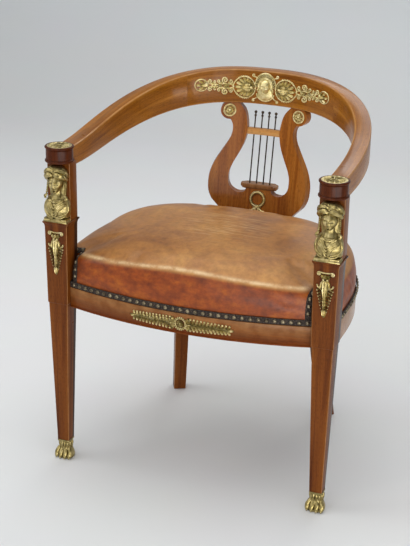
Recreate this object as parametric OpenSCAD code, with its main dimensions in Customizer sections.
// Gondola armchair: mahogany horseshoe crest, lyre back, bronze mounts, leather seat.
// X runs from side to side, -Y is the front, Z is up. The floor is at Z = 0.

/* [Overall] */
// Depth from the foremost mount to the back of the crest
depth = 518; // [480:1:560]

/* [Front legs] */
// Width of the leg block under its collar
block_top_w = 49; // [44:0.5:54]
// Width of the leg block at its lower ledge
block_low_w = 45; // [43.5:0.5:48]
// Height of the ledge where the block steps in to the leg
ledge_z = 362; // [358:1:372]
// Width of the tapering leg just under the ledge
leg_top_w = 42; // [36:0.5:43]
// Width of the tapering leg where it meets the paw
leg_low_w = 26; // [22:0.5:30]
// Height of the bronze paw foot
paw_h = 43; // [38:1:50]
// Height of the collar's flat top, where the bust stands
collar_z = 537; // [525:1:550]
// Width of the square collar moulding
collar_w = 56; // [52:0.5:60]
// Height of the collar's hollow below its flat band
collar_hollow = 11; // [8:0.5:16]
// Height of the collar's flat band
collar_band = 3; // [2:0.5:5]
// Width of the post behind the bust
post_w = 50; // [46:0.5:54]
// Depth of the post behind the bust
post_d = 31; // [28:0.5:34]
// Bevel on the upright edges of the front legs
leg_bevel = 1.4; // [0.8:0.1:2.5]

/* [Turned caps] */
// Height of the top of each turned cap
cap_top_z = 690; // [680:1:700]
// Height of each turned cap
cap_h = 33; // [28:0.5:38]
// Diameter of the cap's body between its rims
cap_d = 54; // [50:0.5:57]
// Radius of the rounded rims at the cap's top and bottom
cap_rim = 3; // [2:0.1:4]
// Diameter of the bronze disc on the cap
disc_d = 51; // [44:0.5:52]
// Thickness of the bronze disc at its rim
disc_t = 1.6; // [1:0.1:2.5]

/* [Crest rail] */
// How far the arm's inner face lies inside the middle of the front leg
arm_in = 18.5; // [14:0.5:22]
// Thickness of the crest rail
crest_t = 34; // [28:0.5:40]
// Height of the arms' top where they meet the caps
arm_top_z = 685; // [676:0.5:690]
// Height of the crest's top in the middle of the back
crest_top_z = 780; // [760:1:810]
// Height of the rail's section at the arms
arm_h = 41; // [36:0.5:46]
// Height of the rail's section in the middle of the back
crest_h = 75; // [66:0.5:86]
// Length of the straight stretch of each arm
arm_straight = 73; // [50:1:90]
// Rounding of the crest rail's long edges
crest_round = 3; // [2:0.2:5]

/* [Seat frame] */
// Height of the underside of the seat rails
rail_low_z = 354; // [346:1:360]
// Height of the seat rails
rail_h = 43; // [38:1:46]
// Thickness of the seat rails
rail_t = 28; // [22:1:32]
// Set-back of the front rail's ends from the faces of the legs
rail_setback = 14; // [8:0.5:16]
// Forward bow of the front rail
rail_bow = 38; // [24:1:44]
// Half width of the seat frame at the sides
rail_half_w = 297; // [280:0.5:315]
// Set-in of the side rails from the outer faces of the front legs
side_setin = 7.5; // [4:0.5:12]
// Distance from the crest's back to the seat frame's back
rail_back_inset = 56; // [48:1:70]
// Distance from the legs' front faces to where the side rails start to curve in
rail_curve_from = 75; // [66:1:90]
// Diameter of the dowels
dowel_d = 10; // [8:0.5:12]
// Length of the dowels
dowel_l = 44; // [36:1:50]

/* [Rear legs] */
// Width of the rear legs at the top
rear_top_w = 34; // [30:0.5:38]
// Width of the rear legs at the floor
rear_low_w = 28; // [24:0.5:32]
// How far the rear feet stand out past the tops of their legs
rear_foot_out = 50; // [35:1:60]
// Direction of the rear legs round the seat frame, in degrees from the side
rear_angle = 63; // [58:0.5:68]

/* [Seat] */
// Height of the worn leather edge above the seat rails at the corners
border_h = 62; // [50:1:72]
// Extra height of that edge in the middle of the front
border_rise = 18; // [8:1:26]
// Height of the crown above the leather edge
crown_h = 37; // [24:1:44]
// Thickness of the leather
leather_t = 2; // [1.5:0.1:3]
// Height of the nailed gimp band
gimp_h = 13; // [10:0.5:16]
// Thickness of the gimp band
gimp_t = 1.5; // [1:0.1:2.5]
// Width of a webbing strap
strap_w = 50; // [40:1:60]
// Thickness of a webbing strap
strap_t = 1.4; // [1:0.1:2]

/* [Lyre] */
// Half width of the lyre at its belly
lyre_half_w = 113; // [100:0.5:124]
// Thickness of the lyre board
lyre_t = 18; // [14:0.5:22]
// Radius of the lyre board's hollow face
lyre_curve_r = 350; // [300:5:420]
// Backward lean of the lyre board in degrees
lyre_lean = 10.2; // [8:0.1:11]
// Distance of the lyre board behind the inner face of the rear rail
lyre_setin = 3.4; // [2.5:0.1:5]
// Radius of the scrolls at the top of the arms
scroll_r = 19.5; // [17:0.5:21]
// Diameter of a lyre string
string_d = 3; // [2:0.1:4]
// Distance between lyre strings
string_gap = 15.3; // [13:0.1:16]
// Diameter of a rosette
rosette_d = 29; // [24:0.5:32]
// Outer diameter of the wreath
wreath_d = 38; // [32:0.5:40]

/* [Bronze mounts] */
// Length of the crest mount round the curve
crest_mount_l = 320; // [280:1:340]
// Thickness of the flat bronze mounts
mount_t = 3; // [2:0.1:4]
// Length of the frieze mount on the front rail
frieze_l = 216; // [190:1:230]
// Height of the frieze mount's roundel
frieze_h = 26; // [22:0.5:28]
// Length of a palmette drop
drop_l = 96; // [84:1:104]
// Height of a bust with its plinth
bust_h = 117; // [110:0.5:119]

/* [Hidden] */

// Round shapes are exact, so this only sets how finely points on curves are spaced
$fn = 48;

// Points round the widest curves
fine = 480;

// Clearance between pieces that are glued or pressed together
glue_gap = 0.1;
// Clearance between curved faces of separate pieces
seat_gap = 0.3;
// Overrun of every cut past the face it opens
overrun = 1;

// Places worked out from the sizes above
front_y = -depth / 2;
rail_front_y = front_y + mount_t;
leg_front_y = rail_front_y + rail_bow - rail_setback;
leg_x = rail_half_w + side_setin - block_top_w / 2;
arm_half_in = leg_x - arm_in;
leg_y = leg_front_y + block_top_w / 2;
rail_top_z = rail_low_z + rail_h;
crest_in_y = depth / 2 - crest_t;
post_back_y = leg_y + block_top_w / 2;
cap_low_z = cap_top_z - cap_h;
inner_leg_x = leg_x - block_top_w / 2;

// Wood colours
mahogany = "#6b3a1c";
mahogany_light = "#8f5526";
bronze = "#b5a050";
leather = "#a8693a";
gimp_brown = "#3a2d22";
jute = "#b59a6a";

// Exponent of the squarish curve that the crest and the seat frame share
curve_share = 2.65;

// Point at a polar angle on a squarish oval with half axes a and b
function oval_r(a, b, angle) =
    pow(pow(abs(cos(angle)) / a, curve_share) + pow(abs(sin(angle)) / b, curve_share),
        -1 / curve_share);
function oval(a, b, angle) = oval_r(a, b, angle) * [cos(angle), sin(angle)];
// How far back that oval lies at a distance x from its middle
function oval_y(a, b, x) = b * pow(1 - pow(x / a, curve_share), 1 / curve_share);
// Outward unit normal of that oval at one of its points
function oval_normal(a, b, p) =
    let (g = [sign(p.x) * pow(abs(p.x) / a, curve_share - 1) / a,
              sign(p.y) * pow(abs(p.y) / b, curve_share - 1) / b])
    g / norm(g);
function mix(a, b, share) = a + (b - a) * share;

// Smooth curve through a list of points, with steps new points to each span
function spline(points, steps) = [
    for (i = [0 : len(points) - 2]) for (j = [0 : steps - 1])
        let (t = j / steps,
             a = points[max(i - 1, 0)], b = points[i], c = points[i + 1],
             d = points[min(i + 2, len(points) - 1)])
        (2 * b + (c - a) * t + (2 * a - 5 * b + 4 * c - d) * t * t
         + (3 * b - a - 3 * c + d) * t * t * t) / 2,
    points[len(points) - 1]];

// A solid swept through rings of points, each end closed flat or by a fan round its centre
module loft(rings, centres = []) {
    n = len(rings[0]);
    last = len(rings) - 1;
    tip = (last + 1) * n;
    polyhedron(
        points = concat([for (ring = rings) each ring], centres),
        faces = [
            if (centres == []) each [[for (i = [n - 1 : -1 : 0]) i],
                                     [for (i = [0 : n - 1]) last * n + i]],
            if (centres != []) for (i = [0 : n - 1])
                let (j = (i + 1) % n)
                each [[j, i, tip], [last * n + i, last * n + j, tip + 1]],
            for (k = [0 : last - 1]) for (i = [0 : n - 1])
                let (j = (i + 1) % n)
                each [[k * n + i, k * n + j, (k + 1) * n + j],
                      [k * n + i, (k + 1) * n + j, (k + 1) * n + i]]],
        convexity = 10);
}

module mirrored(side) {
    mirror([side < 0 ? 1 : 0, 0, 0]) children();
}

// Outline of a front leg seen from the front or the side, about its centre line
function leg_profile() =
    let (hollow_z = collar_z - collar_band - collar_hollow,
         right = [
            [leg_low_w / 2, paw_h],
            [leg_top_w / 2, ledge_z - (block_low_w - leg_top_w) / 2],
            [block_low_w / 2, ledge_z],
            [block_top_w / 2, hollow_z],
            for (a = [15 : 15 : 75])
                [collar_w / 2 - (collar_w - block_top_w) / 2 * cos(a),
                 hollow_z + collar_hollow * sin(a)],
            [collar_w / 2, collar_z - collar_band],
            [collar_w / 2, collar_z]])
    concat(right, [for (i = [len(right) - 1 : -1 : 0]) [-right[i].x, right[i].y]]);

// Bevels the upright edges of a tapering square leg by a diagonal cut of its own profile
module leg_bevels() {
    rotate([0, 0, 45])
    rotate([90, 0, 0])
    linear_extrude(2 * collar_w, center = true)
    polygon([for (p = leg_profile()) [p.x * sqrt(2) - sign(p.x) * leg_bevel, p.y]]);
}

module leg_body() {
    intersection() {
        rotate([90, 0, 0]) linear_extrude(2 * collar_w, center = true) polygon(leg_profile());
        rotate([90, 0, 90]) linear_extrude(2 * collar_w, center = true) polygon(leg_profile());
        leg_bevels();
        mirror([1, 0, 0]) leg_bevels();
    }
    post_low = collar_z - overrun;
    translate([-post_w / 2, block_top_w / 2 - post_d, post_low])
    cube([post_w, post_d, cap_low_z - post_low]);
}

// Heights of the two dowels in each seat rail joint
dowel_zs = [rail_low_z + rail_h * 0.28, rail_low_z + rail_h * 0.72];

module dowel_x(x, y, z, grow = 0) {
    translate([x - dowel_l / 2 - grow, y, z]) rotate([0, 90, 0])
    cylinder(d = dowel_d + 2 * grow, h = dowel_l + 2 * grow);
}

module dowel_y(x, y, z, grow = 0) {
    translate([x, y + dowel_l / 2 + grow, z]) rotate([90, 0, 0])
    cylinder(d = dowel_d + 2 * grow, h = dowel_l + 2 * grow);
}

module dowel_up(x, y, z, grow = 0) {
    translate([x, y, z - dowel_l / 2 - grow])
    cylinder(d = dowel_d + 2 * grow, h = dowel_l + 2 * grow);
}

// Plan of the seat frame
rail_curve_y = leg_front_y + rail_curve_from;
rail_half_d = depth / 2 - rail_back_inset - rail_curve_y;
function rail_point(angle, inset) =
    let (p = oval(rail_half_w, rail_half_d, angle),
         n = oval_normal(rail_half_w, rail_half_d, p))
    [0, rail_curve_y] + p - n * inset;
rail_end_y = leg_front_y + rail_setback;
front_rail_r = (inner_leg_x * inner_leg_x + rail_bow * rail_bow) / (2 * rail_bow);
function front_rail_y(x, inset = 0) =
    rail_front_y + front_rail_r
    - sqrt((front_rail_r - inset) * (front_rail_r - inset) - x * x);

// Middle of the rail at the rear legs, and the direction outwards there
rear_mid = rail_point(rear_angle, rail_t / 2);
rear_out = oval_normal(rail_half_w, rail_half_d, oval(rail_half_w, rail_half_d, rear_angle));
rear_turn = atan2(rear_out.y, rear_out.x) - 90;
rear_seat = rail_point(rear_angle, rear_top_w / 2);
// Sideways distance of the rear leg's two dowels from its middle
rear_dowel_off = rear_top_w / 4;

module rear_leg_place() {
    translate([rear_seat.x, rear_seat.y, 0]) rotate([0, 0, rear_turn]) children();
}

module frame_dowel_set(grow = 0) {
    for (z = dowel_zs) {
        dowel_x(inner_leg_x, rail_end_y + rail_t / 2, z, grow);
        dowel_y(rail_half_w - rail_t / 2, post_back_y, z, grow);
        translate([rear_mid.x, rear_mid.y, z]) rotate([0, 0, rear_turn])
        dowel_x(0, 0, 0, grow);
    }
    rear_leg_place() for (s = [-1, 1])
        dowel_up(s * rear_dowel_off * 1.2, 0, rail_low_z, grow);
}

module front_leg(side) {
    color(mahogany)
    difference() {
        mirrored(side) translate([leg_x, leg_y, 0]) leg_body();
        mirrored(side) frame_dowel_set(glue_gap);
        mirrored(side) cap_dowels(glue_gap);
    }
}

module front_leg_left() { front_leg(-1); }
module front_leg_right() { front_leg(1); }

// The sabre curve of a rear leg: how far its middle line stands out at a height
sabre_share = 1.5;
function sabre(z) = rear_foot_out * pow(1 - z / rail_low_z, sabre_share);
sabre_steps = 12;

module rear_leg(side) {
    function half(z) = mix(rear_low_w, rear_top_w, z / rail_low_z) / 2;
    heights = [for (i = [0 : sabre_steps]) rail_low_z * i / sabre_steps];
    side_view = concat(
        [for (z = heights) [sabre(z) + half(z), z]],
        [for (i = [sabre_steps : -1 : 0]) [sabre(heights[i]) - half(heights[i]), heights[i]]]);
    front_view = [[-half(0), 0], [half(0), 0],
                  [half(rail_low_z), rail_low_z], [-half(rail_low_z), rail_low_z]];
    color(mahogany)
    mirrored(side)
    difference() {
        rear_leg_place()
        intersection() {
            rotate([90, 0, 90])
            linear_extrude(2 * rear_top_w, center = true)
            polygon(side_view);
            translate([0, rear_foot_out / 2, 0])
            rotate([90, 0, 0])
            linear_extrude(2 * rear_foot_out + 2 * rear_top_w, center = true)
            polygon(front_view);
        }
        frame_dowel_set(glue_gap);
    }
}

module rear_leg_left() { rear_leg(-1); }
module rear_leg_right() { rear_leg(1); }

// Bead along the foot of the front rail, as shares of its height
bead_h = rail_h * 0.075;
bead_out = rail_h * 0.022;

module front_rail() {
    color(mahogany_light)
    difference() {
        intersection() {
            translate([0, rail_front_y + front_rail_r, 0])
            difference() {
                union() {
                    translate([0, 0, rail_low_z])
                    cylinder(r = front_rail_r, h = rail_h, $fn = fine);
                    translate([0, 0, rail_low_z])
                    cylinder(r = front_rail_r + bead_out, h = bead_h, $fn = fine);
                }
                translate([0, 0, rail_low_z - overrun])
                cylinder(r = front_rail_r - rail_t, h = rail_h + 2 * overrun, $fn = fine);
            }
            translate([-leg_x, front_y, rail_low_z])
            cube([2 * leg_x, rail_bow + rail_setback + rail_t + block_top_w, rail_h]);
        }
        for (s = [-1, 1]) mirrored(s) {
            frame_dowel_set(glue_gap);
            rotate([90, 0, 0]) linear_extrude(depth) leg_block_shape(leg_x);
        }
    }
}

// The tapering leg block seen from the front or the side, run down past the rails' feet
function block_half(z) =
    mix(block_low_w, block_top_w,
        (z - ledge_z) / (collar_z - collar_band - collar_hollow - ledge_z)) / 2;
module leg_block_shape(middle) {
    low = rail_low_z - rail_h;
    high = rail_top_z + rail_h;
    polygon([[middle - block_half(low), low], [middle + block_half(low), low],
             [middle + block_half(high), high], [middle - block_half(high), high]]);
}

// Angle between two points on the rails' curve
rail_step_angle = 4.5;

module rail_band(from_angle, to_angle, inset_out, inset_in, start_y) {
    steps = ceil((to_angle - from_angle) / rail_step_angle);
    angles = [for (i = [0 : steps]) mix(from_angle, to_angle, i / steps)];
    straight = from_angle == 0;
    polygon(concat(
        straight ? [[rail_half_w - inset_in, start_y], [rail_half_w - inset_out, start_y]] : [],
        [for (a = angles) rail_point(a, inset_out)],
        [for (i = [steps : -1 : 0]) rail_point(angles[i], inset_in)]));
}

module side_rail(side) {
    color(mahogany_light)
    mirrored(side)
    difference() {
        translate([0, 0, rail_low_z])
        linear_extrude(rail_h)
        rail_band(0, rear_angle, 0, rail_t, leg_y);
        frame_dowel_set(glue_gap);
        rotate([90, 0, 90]) linear_extrude(depth) leg_block_shape(leg_y);
    }
}

module side_rail_left() { side_rail(-1); }
module side_rail_right() { side_rail(1); }

module rear_rail() {
    color(mahogany_light)
    difference() {
        translate([0, 0, rail_low_z])
        linear_extrude(rail_h)
        rail_band(rear_angle, 180 - rear_angle, 0, rail_t, post_back_y);
        for (s = [-1, 1]) mirrored(s) frame_dowel_set(glue_gap);
        lyre_tenon(glue_gap);
    }
}

// Corner blocks glued inside the frame
block_h = rail_h * 0.8;
block_arm = rail_t * 2.2;

module corner_block_front(side) {
    x_out = rail_half_w - rail_t - seat_gap;
    y_back = post_back_y + seat_gap;
    y_front = front_rail_y(inner_leg_x, rail_t) + seat_gap;
    color(mahogany_light)
    mirrored(side)
    translate([0, 0, rail_low_z + rail_h * 0.1])
    linear_extrude(block_h)
    polygon([
        [x_out, y_back], [x_out, y_back + block_arm],
        [inner_leg_x - block_arm, front_rail_y(inner_leg_x - block_arm, rail_t) + seat_gap],
        [inner_leg_x - block_arm / 2,
         front_rail_y(inner_leg_x - block_arm / 2, rail_t) + seat_gap],
        [inner_leg_x - seat_gap, y_front], [inner_leg_x - seat_gap, y_back]]);
}

module corner_block_front_left() { corner_block_front(-1); }
module corner_block_front_right() { corner_block_front(1); }

// Angle that a rear corner block spans to each side of the rail joint
block_angle = 7;

module corner_block_rear(side) {
    from = rear_angle - block_angle;
    to = rear_angle + block_angle;
    color(mahogany_light)
    mirrored(side)
    translate([0, 0, rail_low_z + rail_h * 0.1])
    linear_extrude(block_h)
    polygon(concat(
        [for (i = [0 : 4]) rail_point(mix(from, to, i / 4), rail_t + seat_gap)],
        [rail_point(to, rail_t * 1.5), rail_point(rear_angle, rail_t * 2),
         rail_point(from, rail_t * 1.5)]));
}

module corner_block_rear_left() { corner_block_rear(-1); }
module corner_block_rear_right() { corner_block_rear(1); }

module frame_dowels() {
    color(jute) for (s = [-1, 1]) mirrored(s) frame_dowel_set();
}

// Turned caps over the busts
// Middle of an arm across its thickness
arm_mid_x = arm_half_in + crest_t / 2;
arm_dowel_z = arm_top_z - arm_h * 0.36;

module cap_dowels(grow = 0) {
    dowel_up(leg_x, post_back_y - post_d / 2, cap_low_z, grow);
    dowel_y(arm_mid_x, leg_y + cap_d / 2, arm_dowel_z, grow);
}

module turned_cap(side) {
    r = cap_d / 2;
    rim_out = r - cap_rim * 0.4;
    color(mahogany)
    difference() {
        mirrored(side)
        translate([leg_x, leg_y, cap_low_z])
        rotate_extrude()
        union() {
            square([r, cap_h]);
            for (z = [cap_rim, cap_h - cap_rim]) translate([rim_out, z]) circle(r = cap_rim);
            square([rim_out, cap_rim]);
            translate([0, cap_h - cap_rim]) square([rim_out, cap_rim]);
        }
        mirrored(side) cap_dowels(glue_gap);
        mirrored(side) translate([leg_x, leg_y, cap_top_z - disc_t])
        cylinder(d = disc_d + 2 * glue_gap, h = disc_t + overrun);
    }
}

module turned_cap_left() { turned_cap(-1); }
module turned_cap_right() { turned_cap(1); }

// Bronze disc let into the top of a cap: beaded rim, petals and a boss
module cap_disc(side) {
    petals = 8;
    petal_r = disc_d * 0.09;
    color(bronze)
    mirrored(side)
    translate([leg_x, leg_y, cap_top_z - disc_t]) {
        cylinder(d = disc_d, h = disc_t);
        translate([0, 0, disc_t])
        rotate_extrude() translate([disc_d / 2 - disc_t, 0]) circle(r = disc_t);
        for (i = [0 : petals - 1]) rotate([0, 0, i * 360 / petals])
            translate([disc_d * 0.27, 0, disc_t / 2])
            cylinder(r1 = petal_r, r2 = petal_r / 2, h = disc_t);
        cylinder(r1 = petal_r * 1.3, r2 = petal_r * 0.6, h = disc_t * 2);
    }
}

module cap_disc_left() { cap_disc(-1); }
module cap_disc_right() { cap_disc(1); }

// Crest rail
crest_curve_y = post_back_y + arm_straight;
crest_half_d = crest_in_y - crest_curve_y;
// How the top rises along the rail: flat along the arms, steeper towards the back
rise_share = 1.68;
// Polar angle of the joints between the arms and the back of the crest
crest_joint_angle = 60.5;
// Angle between two rings of the crest rail
crest_step_angle = 3.9;

function crest_run(y) = max(0, (y - post_back_y) / (crest_in_y - post_back_y));
function crest_top(y) = arm_top_z + (crest_top_z - arm_top_z) * pow(crest_run(y), rise_share);
function crest_deep(y) = mix(arm_h, crest_h, crest_run(y));

// Ring of the rail's section at an inside point p with outward normal n
function crest_ring(p, n) =
    let (top = crest_top(p.y), low = top - crest_deep(p.y), r = crest_round,
         corners = [[r, low + r, 180], [crest_t - r, low + r, 270],
                    [crest_t - r, top - r, 0], [r, top - r, 90]])
    [for (c = corners) for (a = [0 : 45 : 90])
        let (out = c[0] + r * cos(c[2] + a), z = c[1] + r * sin(c[2] + a))
        [p.x + n.x * out, p.y + n.y * out, z]];

function crest_oval_ring(angle) =
    let (p = oval(arm_half_in, crest_half_d, angle))
    crest_ring([p.x, p.y + crest_curve_y], oval_normal(arm_half_in, crest_half_d, p));

// The arms reach forward over the posts, where they are hollowed round the turned caps
arm_reach = cap_d * 0.3;

function arm_rings(to_angle) =
    let (steps = ceil(to_angle / crest_step_angle), straight_steps = 4)
    concat(
        [for (i = [0 : straight_steps - 1])
            crest_ring([arm_half_in,
                        mix(post_back_y - arm_reach, crest_curve_y, i / straight_steps)],
                       [1, 0])],
        [for (i = [0 : steps]) crest_oval_ring(to_angle * i / steps)]);

module arm(side) {
    color(mahogany_light)
    mirrored(side)
    difference() {
        loft(arm_rings(crest_joint_angle));
        translate([leg_x, leg_y, 0])
        cylinder(r = cap_d / 2 + cap_rim * 0.6 + seat_gap, h = 2 * cap_top_z, $fn = fine);
        translate([0, front_y, 0]) cube([depth, post_back_y - front_y, cap_low_z]);
        cap_dowels(glue_gap);
        crest_dowel_set(glue_gap);
    }
}

module arm_left() { arm(-1); }
module arm_right() { arm(1); }

crest_joint_in = oval(arm_half_in, crest_half_d, crest_joint_angle);
crest_joint_out = oval_normal(arm_half_in, crest_half_d, crest_joint_in);
crest_joint_mid = [0, crest_curve_y] + crest_joint_in + crest_joint_out * crest_t / 2;
crest_joint_top = crest_top(crest_curve_y + crest_joint_in.y);
crest_joint_deep = crest_deep(crest_curve_y + crest_joint_in.y);

module crest_dowel_set(grow = 0) {
    for (share = [0.3, 0.7])
        translate([crest_joint_mid.x, crest_joint_mid.y,
                   crest_joint_top - crest_joint_deep * share])
        rotate([0, 0, atan2(crest_joint_out.y, crest_joint_out.x) - 90])
        dowel_x(0, 0, 0, grow);
}

module crest_back() {
    span = 180 - 2 * crest_joint_angle;
    steps = ceil(span / crest_step_angle);
    color(mahogany_light)
    difference() {
        loft([for (i = [0 : steps]) crest_oval_ring(crest_joint_angle + span * i / steps)]);
        for (s = [-1, 1]) mirrored(s) crest_dowel_set(glue_gap);
        lyre_top_dowels(glue_gap);
    }
}

module crest_dowels() {
    color(jute) {
        for (s = [-1, 1]) mirrored(s) {
            crest_dowel_set();
            cap_dowels();
        }
        lyre_top_dowels();
    }
}

// Lyre board: an outline bent round a leaning hollow, with its edges square to the bent face
// The scrolls reach up to the underside of the crest
scroll_x = lyre_half_w * 0.70;
crest_over_scroll_y = crest_curve_y + oval_y(arm_half_in, crest_half_d, scroll_x);
lyre_top_z = crest_top(crest_over_scroll_y) - crest_deep(crest_over_scroll_y) - glue_gap;
lyre_h = lyre_top_z - rail_top_z;
// Heights of the bridge and the crossbar as shares of the lyre's height
bridge_share = 0.398;
crossbar_share = 0.806;
// Places on the right arm as shares of the half width and of the height: up the outside from
// the foot to the scroll, and up the inside from the bridge, place for place
lyre_outer_shares = [
    [0.55, 0], [0.54, 0.08], [0.585, 0.16], [0.70, 0.225], [0.83, 0.277], [0.92, 0.315],
    [0.98, 0.366], [1, 0.428], [0.985, 0.493], [0.915, 0.571], [0.80, 0.65], [0.70, 0.715],
    [0.637, 0.764], [0.615, 0.81], [0.625, 0.847], [0.67, 0.88]];
lyre_inner_shares = [
    [0.257, bridge_share], [0.272, 0.382], [0.305, 0.371], [0.36, 0.3655], [0.425, 0.3655],
    [0.487, 0.374], [0.549, 0.39], [0.597, 0.415], [0.62, 0.447], [0.618, 0.506],
    [0.566, 0.565], [0.465, 0.64], [0.38, 0.715], [0.339, 0.78], [0.329, 0.826],
    [0.343, 0.872]];
lyre_inner_top_shares = [[0.343, 0.872], [0.372, 0.92], [0.42, 0.958], [0.52, 1]];
// Height of the scroll's middle under its top as a share of its radius
scroll_drop_share = 0.86;
scroll_z = lyre_top_z - scroll_r * scroll_drop_share;
scroll_from_angle = -100;
scroll_to_angle = 110;
lyre_arm_steps = 3;
lyre_top_steps = 7;

function lyre_points(shares) =
    [for (p = shares) [p.x * lyre_half_w, rail_top_z + p.y * lyre_h]];

// Rows across the right half of the board, each from its outer to its inner edge
lyre_scroll_inner = spline(lyre_points(lyre_inner_top_shares), lyre_top_steps);
lyre_scroll_steps = len(lyre_scroll_inner) - 1;
lyre_scroll_outer = [
    for (i = [0 : lyre_scroll_steps])
        let (a = mix(scroll_from_angle, scroll_to_angle, i / lyre_scroll_steps))
        [scroll_x + scroll_r * cos(a), min(lyre_top_z, scroll_z + scroll_r * sin(a))]];
lyre_arm_outer = spline(lyre_points(lyre_outer_shares), lyre_arm_steps);
lyre_arm_inner = spline(lyre_points(lyre_inner_shares), lyre_arm_steps);
lyre_foot_rows = [
    for (t = [0.5, 1])
        [[lyre_arm_outer[0].x * t, rail_top_z], [lyre_arm_inner[0].x * t, lyre_arm_inner[0].y]]];
lyre_half_rows = concat(
    lyre_foot_rows,
    [for (i = [1 : len(lyre_arm_outer) - 1]) [lyre_arm_outer[i], lyre_arm_inner[i]]],
    [for (i = [1 : lyre_scroll_steps]) [lyre_scroll_outer[i], lyre_scroll_inner[i]]]);
lyre_middle_row = [[0, rail_top_z], [0, lyre_arm_inner[0].y]];

// Back face of the frame's hollow, and the front of the lyre board on the centre line
frame_in_back_y = depth / 2 - rail_back_inset - rail_t;
lyre_foot_y = frame_in_back_y + lyre_setin;

// A place in the bent board: p as seen from the front, at a depth behind the hollow face
function lyre_place(p, behind) =
    let (turn = asin(p.x / lyre_curve_r),
         r = lyre_curve_r + behind,
         hollow = r * cos(turn) - lyre_curve_r,
         rise = (p.y - rail_top_z + hollow * sin(lyre_lean)) / cos(lyre_lean))
    [r * sin(turn), lyre_foot_y + hollow * cos(lyre_lean) + rise * sin(lyre_lean), p.y];

// Section of the board along a row: over the hollow face and back behind it
function lyre_section(row, side) =
    let (places = [for (t = [0, 0.5, 1]) [side * mix(row[0].x, row[1].x, t),
                                          mix(row[0].y, row[1].y, t)]])
    concat([for (i = [0 : 2]) lyre_place(places[i], 0)],
           [for (i = [2 : -1 : 0]) lyre_place(places[i], lyre_t)]);

// Moves to the axis of the board's hollow face, upright along its lean
module lyre_axis() {
    translate([0, lyre_foot_y, rail_top_z])
    rotate([-lyre_lean, 0, 0])
    translate([0, -lyre_curve_r, 0])
    children();
}

module lyre_slab(from_r, to_r) {
    lyre_axis()
    translate([0, 0, -lyre_h])
    difference() {
        cylinder(r = to_r, h = 3 * lyre_h, $fn = fine);
        translate([0, 0, -overrun])
        cylinder(r = from_r, h = 3 * lyre_h + 2 * overrun, $fn = fine);
    }
}

module lyre_splat() {
    last = len(lyre_half_rows) - 1;
    color(mahogany_light)
    difference() {
        union() {
            loft(concat(
                [for (i = [last : -1 : 0]) lyre_section(lyre_half_rows[i], -1)],
                [lyre_section(lyre_middle_row, 1)],
                [for (i = [0 : last]) lyre_section(lyre_half_rows[i], 1)]));
            lyre_tenon();
        }
        lyre_bar(glue_gap);
        lyre_top_dowels(glue_gap);
        bridge_dowels(glue_gap);
    }
}

// Tenon under the lyre's foot, let into the rear rail
tenon_w = lyre_half_w * 0.8;
tenon_t = lyre_t * 0.4;
tenon_l = rail_h * 0.5;

module lyre_tenon(grow = 0) {
    y_mid = depth / 2 - rail_back_inset - rail_t / 2;
    translate([-tenon_w / 2 - grow, y_mid - tenon_t / 2 - grow, rail_top_z - tenon_l - grow])
    cube([tenon_w + 2 * grow, tenon_t + 2 * grow, tenon_l + (grow > 0 ? grow + overrun : seat_gap)]);
}

bar_half = lyre_half_w * 0.325;
bar_h = lyre_h * 0.046;
bar_t = lyre_t * 0.55;
bar_tenon = lyre_t * 0.25;
bar_z = rail_top_z + crossbar_share * lyre_h;

module lyre_bar(grow = 0) {
    half = bar_half + bar_tenon + grow;
    intersection() {
        lyre_slab(lyre_curve_r + lyre_t * 0.08 - grow, lyre_curve_r + lyre_t * 0.08 + bar_t + grow);
        translate([-half, 0, bar_z - bar_h / 2 - grow])
        cube([2 * half, depth / 2, bar_h + 2 * grow]);
    }
}

module lyre_crossbar() {
    color(mahogany_light)
    difference() {
        lyre_bar();
        string_rods(glue_gap);
    }
}

bridge_h = lyre_h * 0.037;
bridge_half = lyre_half_w * 0.38;
bridge_reach = lyre_t * 0.17;
bridge_step = bridge_h * 0.28;
bridge_z = rail_top_z + bridge_share * lyre_h;

// One layer of the bridge, with its corners cut off, set in from the widest layer
module bridge_layer(inset, low_z, high_z) {
    reach = bridge_reach - inset;
    half = bridge_half - inset;
    front = lyre_curve_r - reach - half * half / lyre_curve_r;
    back = lyre_curve_r + lyre_t + reach;
    intersection() {
        lyre_slab(lyre_curve_r - reach, lyre_curve_r + lyre_t + reach);
        lyre_axis()
        linear_extrude(lyre_h)
        polygon([[-half * 0.74, front], [half * 0.74, front],
                 [half, lyre_curve_r + lyre_t * 0.3], [half, lyre_curve_r + lyre_t * 0.7],
                 [half * 0.74, back], [-half * 0.74, back],
                 [-half, lyre_curve_r + lyre_t * 0.7], [-half, lyre_curve_r + lyre_t * 0.3]]);
        translate([-half, 0, low_z]) cube([2 * half, depth / 2, high_z - low_z]);
    }
}

module lyre_bridge() {
    color(mahogany)
    difference() {
        union() {
            bridge_layer(bridge_step, bridge_z + seat_gap, bridge_z + bridge_h / 2);
            bridge_layer(0, bridge_z + bridge_step, bridge_z + bridge_h);
        }
        string_rods(glue_gap);
        bridge_dowels(glue_gap);
    }
}

peg_d = dowel_d * 0.6;
peg_l = dowel_l * 0.5;

module bridge_dowels(grow = 0) {
    for (s = [-1, 1])
        lyre_axis()
        translate([s * bridge_half * 0.5,
                   sqrt(pow(lyre_curve_r + lyre_t / 2, 2) - pow(bridge_half * 0.5, 2)),
                   (bridge_z - rail_top_z) / cos(lyre_lean) - peg_l * 0.75
                   + lyre_t / 2 * tan(lyre_lean) - grow])
        cylinder(d = peg_d + 2 * grow, h = peg_l + 2 * grow);
}

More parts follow.
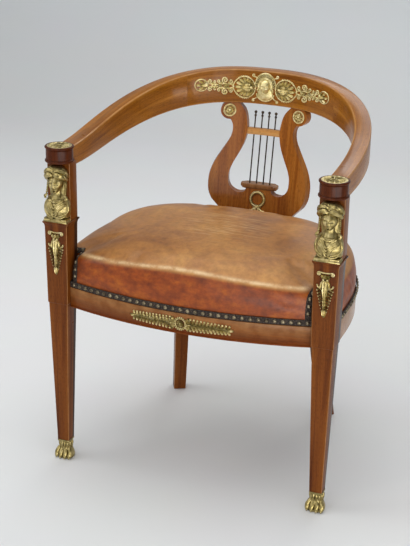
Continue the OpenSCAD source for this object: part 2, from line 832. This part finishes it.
// Dowels that hold the scrolls up to the crest's underside
module lyre_top_dowels(grow = 0) {
    scroll_back = lyre_curve_r - sqrt(lyre_curve_r * lyre_curve_r - scroll_x * scroll_x);
    y = lyre_foot_y + (lyre_top_z - rail_top_z) * tan(lyre_lean) - scroll_back + lyre_t / 2;
    for (s = [-1, 1])
        translate([s * scroll_x, y, lyre_top_z - peg_l / 2 - grow])
        cylinder(d = peg_d + 2 * grow, h = peg_l + 2 * grow);
}

// Strings stand in the bridge and pass up through the crossbar
string_low = bridge_z + bridge_h * 0.4 - rail_top_z;
string_high = lyre_h * 0.94;
finial_d = string_d * 2.2;
// The two beads at the head of a string: height over its end and diameter, as shares of a bead
finial_bead_shares = [[0, 1], [-1.15, 0.85]];

module string_rods(grow = 0) {
    for (i = [-1.5 : 1 : 1.5])
        lyre_axis()
        translate([i * string_gap,
                   sqrt(pow(lyre_curve_r + lyre_t * 0.36, 2) - pow(i * string_gap, 2)),
                   string_low / cos(lyre_lean)])
        cylinder(d = string_d + 2 * grow, h = (string_high - string_low) / cos(lyre_lean));
}

module lyre_strings() {
    color(gimp_brown) {
        string_rods();
        for (i = [-1.5 : 1 : 1.5])
            lyre_axis()
            translate([i * string_gap,
                       sqrt(pow(lyre_curve_r + lyre_t * 0.36, 2) - pow(i * string_gap, 2)),
                       string_high / cos(lyre_lean)])
            rotate_extrude() {
                translate([0, -finial_d]) square([string_d / 2, finial_d]);
                for (bead = finial_bead_shares)
                    translate([0, bead.x * finial_d])
                    intersection() {
                        circle(d = finial_d * bead.y);
                        translate([0, -finial_d]) square(2 * finial_d);
                    }
            }
    }
}

// Moves onto the lyre's front face at a place seen from the front, facing the sitter
module on_lyre(x, z) {
    lyre_axis()
    rotate([0, 0, -asin(x / lyre_curve_r)])
    translate([0, lyre_curve_r, (z - rail_top_z) / cos(lyre_lean)])
    rotate([90, 0, 0])
    children();
}

// How far the hollow stands forward at the rim of a flat mount
function lyre_rim_lift(d) = lyre_curve_r - sqrt(pow(lyre_curve_r, 2) - pow(d / 2, 2));

module rosette(side) {
    r = rosette_d / 2;
    petals = 8;
    color(bronze)
    on_lyre(side * scroll_x, scroll_z)
    translate([0, 0, lyre_rim_lift(rosette_d)]) {
        rotate_extrude()
        polygon([[0, seat_gap], [r, seat_gap], [r, mount_t * 0.5], [r * 0.9, mount_t],
                 [r * 0.78, mount_t * 0.6], [r * 0.3, mount_t * 0.6],
                 [r * 0.24, mount_t * 1.1], [0, mount_t * 1.3]]);
        for (i = [0 : petals - 1]) rotate([0, 0, i * 360 / petals])
            translate([r * 0.54, 0, mount_t * 0.3])
            cylinder(r1 = r * 0.18, r2 = r * 0.1, h = mount_t * 0.7);
    }
}

module rosette_left() { rosette(-1); }
module rosette_right() { rosette(1); }

module wreath_mount() {
    band = wreath_d * 0.1;
    z = rail_top_z + lyre_h * 0.329;
    color(bronze)
    on_lyre(0, z)
    translate([0, 0, seat_gap + lyre_rim_lift(wreath_d)]) {
        intersection() {
            rotate_extrude() translate([wreath_d / 2 - band, 0]) circle(r = band);
            cylinder(d = 2 * wreath_d, h = wreath_d);
        }
        linear_extrude(mount_t * 0.6)
        for (s = [0, 1]) mirror([s, 0])
            polygon([for (p = [[0, -0.36], [0.14, -0.42], [0.36, -0.55], [0.5, -0.72],
                               [0.42, -0.78], [0.26, -0.66], [0.1, -0.6], [0, -0.62]])
                     p * wreath_d]);
    }
}

// Seat webbing, laid across the rails and tacked down
// Pitch of the straps, worked out so that they fill the frame
long_pitch = (rail_half_w - rail_t) * 0.325;
cross_count = 4;
cross_pitch = (frame_in_back_y - post_back_y - 2 * strap_w) / (cross_count - 1);

module webbing_lengthwise() {
    color(jute)
    for (i = [-2 : 2])
        let (x = i * long_pitch, edge_x = abs(x) + strap_w / 2,
             y0 = front_rail_y(edge_x, rail_t) - rail_t * 0.3,
             back = rail_point(90 - asin(edge_x / rail_half_w) * 0.86, rail_t).y + rail_t * 0.25,
             stop = edge_x < lyre_half_w / 2 ? pad_back_y + lyre_hollow / 2 : back)
        translate([x - strap_w / 2, y0, rail_top_z])
        cube([strap_w, min(back, stop) - y0, strap_t]);
}

module webbing_crosswise() {
    color(jute)
    for (i = [0 : cross_count - 1])
        let (y = post_back_y + strap_w * 0.5 + i * cross_pitch,
             half = rail_x_at(y + strap_w, rail_t) + rail_t * 0.5)
        translate([-half, y, rail_top_z + strap_t])
        cube([2 * half, strap_w, strap_t]);
}

// Half width inside the frame at a distance back
function rail_x_at(y, inset) =
    let (v = max(0, y - rail_curve_y) / (rail_half_d - inset))
    (rail_half_w - inset) * pow(1 - pow(min(v, 0.98), curve_share), 1 / curve_share);

// Seat pad
pad_low_z = rail_top_z + 2 * strap_t + seat_gap;
pad_inset = gimp_t + seat_gap * 2;
leg_clear = seat_gap;
lyre_notch = lyre_half_w * 0.87;
lyre_hollow = lyre_curve_r - sqrt(pow(lyre_curve_r, 2) - pow(lyre_half_w, 2) / 3);
pad_back_y = lyre_foot_y - lyre_hollow - seat_gap * 2;
pad_cy = mix(rail_front_y, pad_back_y, 0.5);

// Half depth of the pad's middle line, front and back
pad_half_d = (pad_back_y - pad_cy);

// Right half of the pad's edge in plan, from the front round the leg to the lyre
pad_front_steps = 7;
pad_side_steps = 13;
function pad_half(inset) =
    let (xn = inner_leg_x - leg_clear - inset,
         yn = post_back_y + leg_clear + inset,
         turn_x = lyre_notch + lyre_half_w * 0.17,
         end = atan2(oval_y(rail_half_w, rail_half_d, turn_x), turn_x))
    concat(
        [for (i = [1 : pad_front_steps])
            let (x = xn * i / pad_front_steps) [x, front_rail_y(x, inset)]],
        [[xn, yn], [rail_half_w - inset, yn]],
        [for (i = [0 : pad_side_steps]) rail_point(end * i / pad_side_steps, inset)],
        [[lyre_notch, pad_back_y - inset], [lyre_notch / 2, pad_back_y - inset]]);
function pad_loop(inset) =
    let (right = pad_half(inset))
    concat([[0, pad_back_y - inset]],
           [for (i = [len(right) - 1 : -1 : 0]) right[i]],
           [[0, front_rail_y(0, inset)]],
           [for (p = right) [-p.x, p.y]]);

// Rings of the pad from its foot up over the edge to the middle of the crown
// Each row holds shares of the edge radius, of the border height and of the crown height,
// then how far the ring has turned from the notched edge into a plain rounded one
pad_rows_shares = [
    [1, 0, 0, 0], [1, 0.2, 0, 0], [1.004, 0.46, 0, 0], [0.998, 0.76, 0, 0],
    [0.975, 0.95, 0.02, 0],
    [0.94, 1, 0.16, 0.25], [0.87, 1, 0.40, 0.8], [0.70, 1, 0.72, 1], [0.47, 1, 0.91, 1],
    [0.23, 1, 0.985, 1]];

function front_share(a) = sin(a) < 0 ? pow(-sin(a), 3) : 0;
function pad_height(a, row, drop) =
    pad_low_z
    + (border_h + border_rise * front_share(a)) * row[1]
    + (crown_h - border_rise * front_share(a) * 0.6) * row[2]
    - (row[1] > 0 ? drop : 0);

function pad_rings(inset, drop) =
    let (loop = pad_loop(inset), soft_a = (rail_half_w - inset) * 0.97,
         soft_b = (pad_half_d - inset) * 0.97)
    [for (row = pad_rows_shares)
        [for (p = loop)
            let (v = p - [0, pad_cy], a = atan2(v.y, v.x),
                 r = mix(norm(v), oval_r(soft_a, soft_b, a), row[3]) * row[0])
            [r * cos(a), pad_cy + r * sin(a), pad_height(a, row, drop)]]];

// A pad set in from the leather's outer face on every side
module pad(inset, drop) {
    loft(pad_rings(inset, drop),
         [[0, pad_cy, pad_low_z], [0, pad_cy, pad_height(0, [0, 1, 1], drop)]]);
}

module seat_stuffing() {
    color(jute) pad(pad_inset + leather_t + seat_gap, leather_t + seat_gap);
}

module seat_leather() {
    color(leather)
    difference() {
        pad(pad_inset, 0);
        translate([0, 0, -overrun]) pad(pad_inset + leather_t, leather_t - overrun);
    }
}

// Gimp band nailed along the foot of the leather, down to the rails' top
module gimp_trim() {
    color(gimp_brown)
    translate([0, 0, rail_top_z])
    linear_extrude(gimp_h)
    difference() {
        polygon(pad_loop(pad_inset - gimp_t - seat_gap));
        polygon(pad_loop(pad_inset - seat_gap));
    }
}

// Bronze paw: ankle, pad and four toes
toe_count = 4;

module paw_foot(side) {
    w = leg_low_w;
    toe_r = w * 0.21;
    toe_step = w * 0.38;
    ankle_z = paw_h * 0.55;
    color(bronze)
    mirrored(side)
    translate([leg_x, leg_y, 0]) {
        hull() {
            translate([-w * 0.53, -w * 0.53, paw_h - mount_t])
            cube([w * 1.06, w * 1.06, mount_t]);
            translate([0, 0, ankle_z]) cylinder(d = w * 1.02, h = mount_t, $fn = 24);
        }
        hull() {
            translate([0, 0, ankle_z]) cylinder(d = w * 1.02, h = mount_t, $fn = 24);
            for (s = [-1, 1]) translate([s * w * 0.3, w * 0.22, 0])
                cylinder(r = w * 0.34, h = w * 0.3, $fn = 24);
            for (s = [-1, 1]) translate([s * w * 0.36, -w * 0.3, 0])
                cylinder(r = w * 0.3, h = w * 0.34, $fn = 24);
        }
        for (i = [0 : toe_count - 1])
            let (off = i - (toe_count - 1) / 2, x = off * toe_step,
                 y = -w * (0.66 - 0.05 * off * off))
            hull() {
                translate([x * 0.75, -w * 0.25, ankle_z * 0.85])
                sphere(r = toe_r * 0.9, $fn = 16);
                translate([x, y, toe_r * 1.5]) sphere(r = toe_r, $fn = 16);
                translate([x, y, 0]) cylinder(r = toe_r * 0.85, h = toe_r, $fn = 16);
            }
    }
}

module paw_foot_left() { paw_foot(-1); }
module paw_foot_right() { paw_foot(1); }

// Bronze bust in front of the post: plinth, draped chest, neck, head and dressed hair
module bust(side) {
    foot_z = collar_z + seat_gap;
    back_y = leg_y + block_top_w / 2 - post_d - seat_gap;
    plinth_w = collar_w * 0.9;
    plinth_h = bust_h * 0.1;
    plinth_front = leg_y - collar_w / 2 + mount_t / 2;
    chest_z = foot_z + bust_h * 0.3;
    head_z = foot_z + bust_h * 0.72;
    head_r = bust_h * 0.135;
    head_y = back_y - head_r * 0.62;
    color(bronze)
    mirrored(side)
    difference() {
        union() {
            translate([leg_x - plinth_w / 2, plinth_front, foot_z])
            cube([plinth_w, back_y - plinth_front, plinth_h]);
            hull() {
                translate([leg_x - plinth_w * 0.44, back_y - mount_t, foot_z + plinth_h * 0.9])
                cube([plinth_w * 0.88, mount_t, bust_h * 0.1]);
                for (s = [-1, 1]) {
                    translate([leg_x + s * plinth_w * 0.3, plinth_front + plinth_w * 0.26,
                               chest_z - bust_h * 0.1])
                    sphere(d = plinth_w * 0.46, $fn = 20);
                    translate([leg_x + s * plinth_w * 0.34, back_y - plinth_w * 0.16,
                               chest_z + bust_h * 0.06])
                    sphere(d = plinth_w * 0.34, $fn = 20);
                }
            }
            hull() {
                translate([leg_x, back_y - plinth_w * 0.2, chest_z + bust_h * 0.1])
                sphere(d = plinth_w * 0.5, $fn = 20);
                translate([leg_x, head_y, head_z - head_r * 0.9]) sphere(d = head_r * 1.15, $fn = 20);
            }
            hull() {
                translate([leg_x, head_y, head_z + head_r * 0.25]) sphere(r = head_r, $fn = 24);
                translate([leg_x, head_y - head_r * 0.2, head_z - head_r * 0.72])
                sphere(r = head_r * 0.52, $fn = 20);
            }
            for (s = [-1, 1])
                hull() {
                    translate([leg_x + s * head_r * 0.98, back_y - head_r * 0.4, head_z + head_r * 0.4])
                    sphere(r = head_r * 0.42, $fn = 16);
                    translate([leg_x + s * head_r * 1.2, back_y - head_r * 0.4, chest_z + bust_h * 0.1])
                    sphere(r = head_r * 0.3, $fn = 16);
                }
            hull()
            for (s = [-1, 1])
                translate([leg_x + s * head_r * 0.62, head_y - head_r * 0.08, head_z + head_r * 1.0])
                sphere(r = head_r * 0.6, $fn = 20);
        }
        translate([leg_x - collar_w, back_y, foot_z - overrun])
        cube([2 * collar_w, collar_w, 2 * bust_h]);
        translate([leg_x - collar_w, front_y, cap_low_z - seat_gap])
        cube([2 * collar_w, depth / 2, bust_h]);
    }
}

module bust_left() { bust(-1); }
module bust_right() { bust(1); }

// Palmette drop on the face of a leg block: volutes, stem and paired leaves
module drop_outline() {
    leaves = 6;
    stem = drop_l * 0.055;
    curl = drop_l * 0.05;
    polygon([[-stem, 0], [stem, 0], [stem * 0.7, -drop_l * 0.8], [0, -drop_l],
             [-stem * 0.7, -drop_l * 0.8]]);
    for (s = [0, 1]) mirror([s, 0]) {
        translate([drop_l * 0.13, -curl * 1.1]) circle(r = curl);
        polygon([for (p = [[0, -0.01], [0.13, -0.005], [0.12, -0.06], [0.06, -0.11], [0, -0.14]])
                 p * drop_l]);
        translate([drop_l * 0.06, -drop_l * 0.18]) circle(r = drop_l * 0.042);
        for (i = [0 : leaves - 1])
            let (z = -drop_l * (0.32 + 0.085 * i), reach = drop_l * (0.165 - 0.018 * i))
            polygon([[0, z - drop_l * 0.06], [0, z + drop_l * 0.03], [stem * 0.6, z + drop_l * 0.02],
                     [reach, z - drop_l * 0.05], [reach * 0.94, z - drop_l * 0.085],
                     [stem * 0.7, z - drop_l * 0.05]]);
    }
}

block_slope = atan((block_top_w - block_low_w) / 2
    / (collar_z - collar_band - collar_hollow - ledge_z));

module palmette_drop(side) {
    top = collar_z - collar_band - collar_hollow - seat_gap;
    color(bronze)
    translate([side * leg_x, leg_front_y - seat_gap * cos(block_slope), top])
    rotate([90 + block_slope, 0, 0])
    linear_extrude(mount_t * 0.8)
    drop_outline();
}

module palmette_drop_left() { palmette_drop(-1); }
module palmette_drop_right() { palmette_drop(1); }

// Frieze mount on the front rail: a roundel between two sprays of leaves
module frieze_outline() {
    leaves = 8;
    reach = frieze_l / 2;
    circle(d = frieze_h);
    for (s = [0, 1]) mirror([s, 0]) {
        polygon([[0, frieze_h * 0.1], [reach * 0.97, frieze_h * 0.05],
                 [reach, 0], [reach * 0.97, -frieze_h * 0.05], [0, -frieze_h * 0.1]]);
        for (v = [0, 1]) mirror([0, v])
            for (i = [0 : leaves - 1])
                let (x = frieze_h * 0.42 + (reach - frieze_h * 0.62) * i / leaves,
                     long = frieze_h * (0.44 - 0.012 * i))
                polygon([[x, 0], [x + frieze_h * 0.3, long], [x + frieze_h * 0.44, long * 0.94],
                         [x + frieze_h * 0.36, 0]]);
    }
}

module frieze_mount() {
    z = rail_low_z + rail_h * 0.5;
    color(bronze)
    intersection() {
        translate([0, 0, z]) rotate([90, 0, 0]) linear_extrude(depth) frieze_outline();
        translate([0, rail_front_y + front_rail_r, rail_low_z])
        difference() {
            cylinder(r = front_rail_r + mount_t, h = rail_h, $fn = fine);
            translate([0, 0, -overrun])
            cylinder(r = front_rail_r + seat_gap / 2, h = rail_h + 2 * overrun, $fn = fine);
        }
    }
}

// Crest mount: a mask between palmette roundels, scrolls and end palmettes
module crest_mount_outline() {
    reach = crest_mount_l / 2;
    h = crest_h;
    for (s = [0, 1]) mirror([s, 0]) {
        polygon([[0, h * 0.06], [reach * 0.8, h * 0.03], [reach * 0.8, -h * 0.03], [0, -h * 0.06]]);
        translate([reach * 0.31, 0]) scale([1.06, 1]) circle(r = h * 0.33, $fn = 40);
        for (p = [[0.55, 0.16], [0.64, 0.15], [0.55, -0.16], [0.64, -0.15]])
            translate([reach * p.x, h * p.y]) circle(r = h * 0.11, $fn = 20);
        translate([reach * 0.86, 0]) scale([1.5, 1]) circle(r = h * 0.16, $fn = 32);
    }
    translate([0, -h * 0.05]) circle(r = h * 0.26);
    polygon([for (p = [[-0.22, 0], [0.22, 0], [0.28, -0.28], [0.16, -0.4], [0, -0.43],
                       [-0.16, -0.4], [-0.28, -0.28]]) p * h]);
    translate([0, h * 0.14]) scale([1.15, 1]) circle(r = h * 0.27, $fn = 40);
}

// Angle to each side of the middle that the band behind the crest mount spans
mount_angle = 40;

module crest_inner_band(from_in, to_in) {
    steps = 40;
    function point(angle, inset) =
        let (p = oval(arm_half_in, crest_half_d, angle),
             n = oval_normal(arm_half_in, crest_half_d, p))
        [0, crest_curve_y] + p - n * inset;
    angles = [for (i = [0 : steps]) mix(90 - mount_angle, 90 + mount_angle, i / steps)];
    polygon(concat([for (a = angles) point(a, from_in)],
                   [for (i = [steps : -1 : 0]) point(angles[i], to_in)]));
}

module crest_mount() {
    color(bronze)
    intersection() {
        translate([0, depth / 2, crest_top_z - crest_h * 0.53])
        rotate([90, 0, 0])
        linear_extrude(depth)
        crest_mount_outline();
        linear_extrude(2 * crest_top_z) crest_inner_band(seat_gap, seat_gap + mount_t);
    }
}

front_leg_left();
front_leg_right();
rear_leg_left();
rear_leg_right();
front_rail();
side_rail_left();
side_rail_right();
rear_rail();
corner_block_front_left();
corner_block_front_right();
corner_block_rear_left();
corner_block_rear_right();
frame_dowels();
turned_cap_left();
turned_cap_right();
arm_left();
arm_right();
crest_back();
crest_dowels();
lyre_splat();
lyre_crossbar();
lyre_bridge();
lyre_strings();
webbing_lengthwise();
webbing_crosswise();
seat_stuffing();
seat_leather();
gimp_trim();
paw_foot_left();
paw_foot_right();
bust_left();
bust_right();
cap_disc_left();
cap_disc_right();
palmette_drop_left();
palmette_drop_right();
frieze_mount();
crest_mount();
rosette_left();
rosette_right();
wreath_mount();
